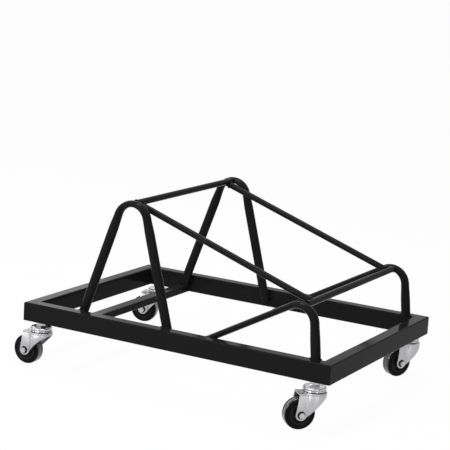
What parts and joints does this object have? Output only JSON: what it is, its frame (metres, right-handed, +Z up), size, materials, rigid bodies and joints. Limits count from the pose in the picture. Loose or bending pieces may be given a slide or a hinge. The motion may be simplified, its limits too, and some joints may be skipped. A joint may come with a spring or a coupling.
{
  "type": "stacking chair trolley",
  "caption": "Low steel trolley for stacking chairs: a rectangular tube base on swivel casters, with bent side frames and tie rods that hold the leaning stack.",
  "frame": {"origin": "on the floor under the middle of the bounding box of the whole trolley, with its casters as they stand", "axes": "+X to the low front end where the posts stand, +Y to the trolley's left side, +Z up from the floor"},
  "size_m": [0.703, 0.5156, 0.3635],
  "materials": {
    "frame_black": "semi-gloss black powder coat",
    "zinc": "bright zinc plate",
    "plain_steel": "plain machined steel",
    "ball_steel": "polished",
    "wheel_plastic": "moulded black",
    "wheel_rubber": "black, with a slightly worn tread"
  },
  "bodies": {
    "frame": {"rail_right": "frame_black", "rail_left": "frame_black", "rail_front": "frame_black", "rail_rear": "frame_black", "lower_cross_member": "frame_black", "a_frame_right": "frame_black", "a_frame_left": "frame_black", "front_support_right": "frame_black", "front_support_left": "frame_black", "rear_rod": "frame_black", "front_rod": "frame_black", "diagonal_rod_right": "frame_black", "diagonal_rod_left": "frame_black", "weld_nuts": "plain_steel", "stem_nuts": "zinc", "stem_washers": "zinc", "stem_front_right": "zinc", "cup_front_right": "zinc", "balls_front_right": "ball_steel", "stem_front_left": "zinc", "cup_front_left": "zinc", "balls_front_left": "ball_steel", "stem_rear_right": "zinc", "cup_rear_right": "zinc", "balls_rear_right": "ball_steel", "stem_rear_left": "zinc", "cup_rear_left": "zinc", "balls_rear_left": "ball_steel"},
    "swivel_front_right": {"yoke_front_right": "zinc", "axle_bolt_front_right": "zinc", "axle_nut_front_right": "zinc", "sleeve_front_right": "plain_steel"},
    "wheel_front_right": {"hub_front_right": "wheel_plastic", "tyre_front_right": "wheel_rubber"},
    "swivel_front_left": {"yoke_front_left": "zinc", "axle_bolt_front_left": "zinc", "axle_nut_front_left": "zinc", "sleeve_front_left": "plain_steel"},
    "wheel_front_left": {"hub_front_left": "wheel_plastic", "tyre_front_left": "wheel_rubber"},
    "swivel_rear_right": {"yoke_rear_right": "zinc", "axle_bolt_rear_right": "zinc", "axle_nut_rear_right": "zinc", "sleeve_rear_right": "plain_steel"},
    "wheel_rear_right": {"hub_rear_right": "wheel_plastic", "tyre_rear_right": "wheel_rubber"},
    "swivel_rear_left": {"yoke_rear_left": "zinc", "axle_bolt_rear_left": "zinc", "axle_nut_rear_left": "zinc", "sleeve_rear_left": "plain_steel"},
    "wheel_rear_left": {"hub_rear_left": "wheel_plastic", "tyre_rear_left": "wheel_rubber"}
  },
  "joints": [
    {"name": "swivel_front_right", "type": "hinge", "parent": "frame", "child": "swivel_front_right", "pos_m": [0.31654, -0.21088, 0.069], "axis": [0, 0, 1], "continuous": true},
    {"name": "wheel_front_right_spin", "type": "hinge", "parent": "swivel_front_right", "child": "wheel_front_right", "pos_m": [0.29709, -0.23102, 0.03], "axis": [-0.7193, 0.6947, 0], "continuous": true},
    {"name": "swivel_front_left", "type": "hinge", "parent": "frame", "child": "swivel_front_left", "pos_m": [0.31654, 0.23412, 0.069], "axis": [0, 0, 1], "continuous": true},
    {"name": "wheel_front_left_spin", "type": "hinge", "parent": "swivel_front_left", "child": "wheel_front_left", "pos_m": [0.3034, 0.2094, 0.03], "axis": [-0.8829, 0.4695, 0], "continuous": true},
    {"name": "swivel_rear_right", "type": "hinge", "parent": "frame", "child": "swivel_rear_right", "pos_m": [-0.29346, -0.21088, 0.069], "axis": [0, 0, 1], "continuous": true},
    {"name": "wheel_rear_right_spin", "type": "hinge", "parent": "swivel_rear_right", "child": "wheel_rear_right", "pos_m": [-0.32145, -0.21137, 0.03], "axis": [-0.0175, 0.9998, 0], "continuous": true},
    {"name": "swivel_rear_left", "type": "hinge", "parent": "frame", "child": "swivel_rear_left", "pos_m": [-0.29346, 0.23412, 0.069], "axis": [0, 0, 1], "continuous": true},
    {"name": "wheel_rear_left_spin", "type": "hinge", "parent": "swivel_rear_left", "child": "wheel_rear_left", "pos_m": [-0.32094, 0.22878, 0.03], "axis": [-0.1908, 0.9816, 0], "continuous": true}
  ]
}
